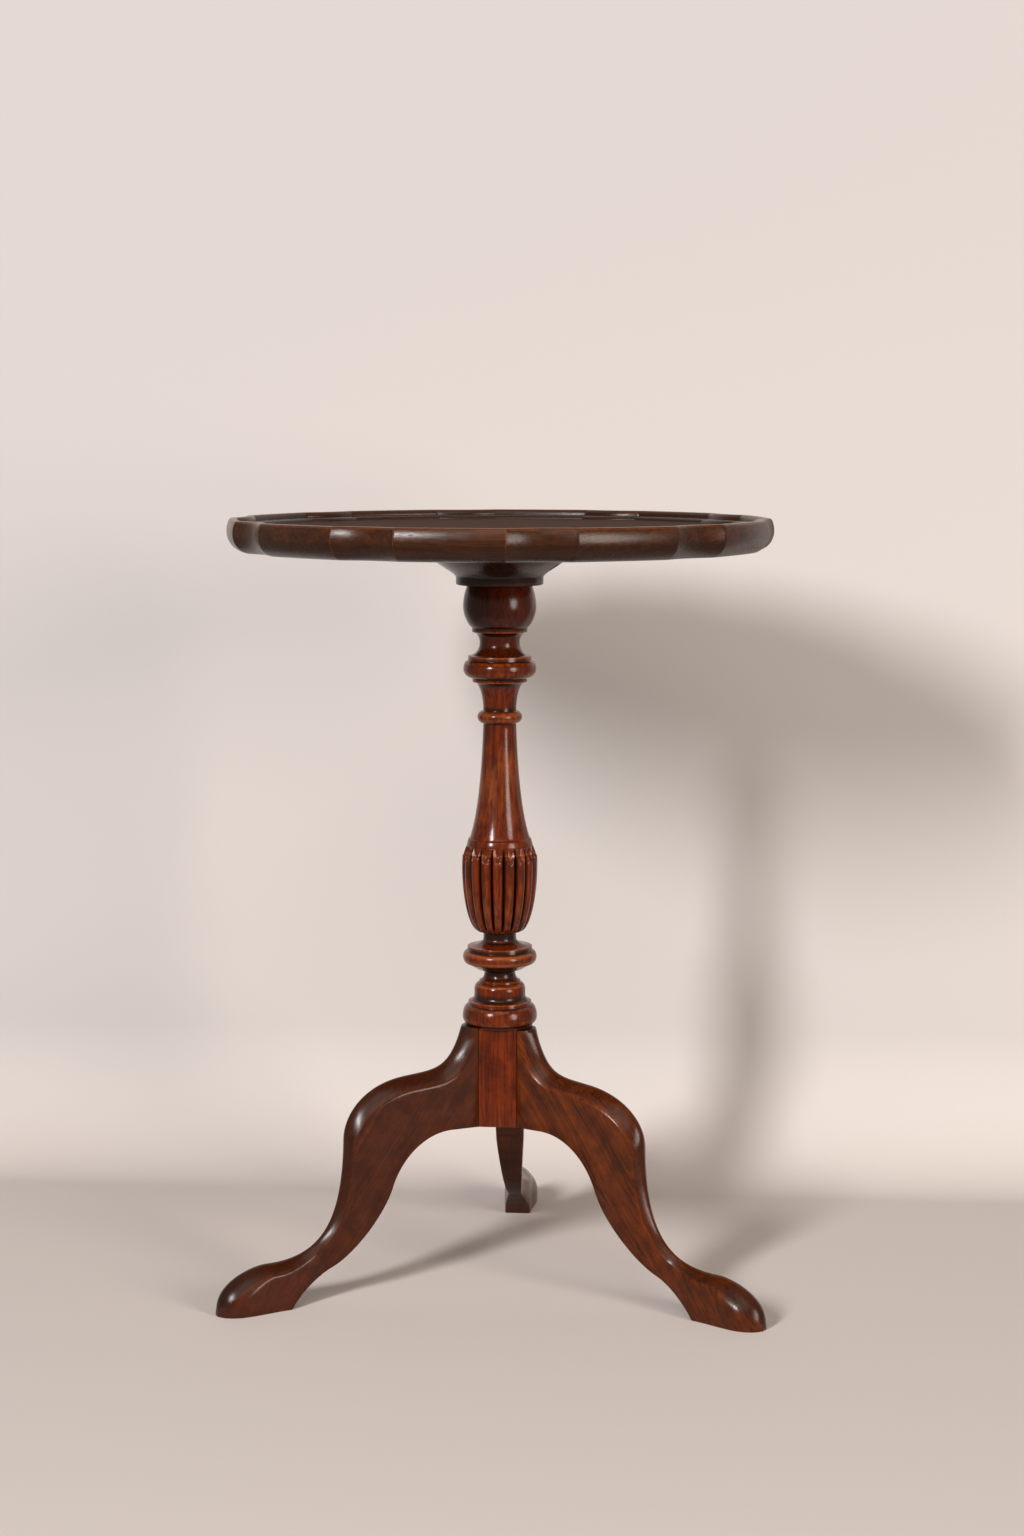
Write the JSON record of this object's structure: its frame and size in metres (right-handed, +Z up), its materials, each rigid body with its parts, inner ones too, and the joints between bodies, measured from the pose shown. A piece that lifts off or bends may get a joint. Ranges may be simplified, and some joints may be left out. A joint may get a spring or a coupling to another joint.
{
  "type": "tripod wine table",
  "caption": "Small round occasional table: dished top with a scalloped raised rim on a turned, fluted column with cabriole tripod legs.",
  "frame": {"origin": "on the floor, at the centre of the bottom of the table's box; the column's axis stands 15.65 mm in front of it, at -Y", "axes": "+Z up along the column; +Y towards the back leg; +X to the right of someone who faces the two front legs"},
  "size_m": [0.4798, 0.5088, 0.684],
  "materials": {
    "top_mahogany": "dark brown polished mahogany, worn lighter on the ridges of the rim",
    "collar_mahogany": "almost black polished mahogany",
    "column_mahogany": "red-brown French polished mahogany, dark in the hollows",
    "leg_mahogany": "red-brown French polished mahogany with dark streaks",
    "wedge_wood": "bare hardwood",
    "screw_steel": "dull steel"
  },
  "bodies": {
    "root": {"table_top": "top_mahogany", "top_collar": "collar_mahogany", "collar_screw_1": "screw_steel", "collar_screw_2": "screw_steel", "collar_screw_3": "screw_steel", "collar_screw_4": "screw_steel", "column": "column_mahogany", "tenon_wedge": "wedge_wood", "leg_back": "leg_mahogany", "leg_left": "leg_mahogany", "leg_right": "leg_mahogany"}
  },
  "joints": []
}
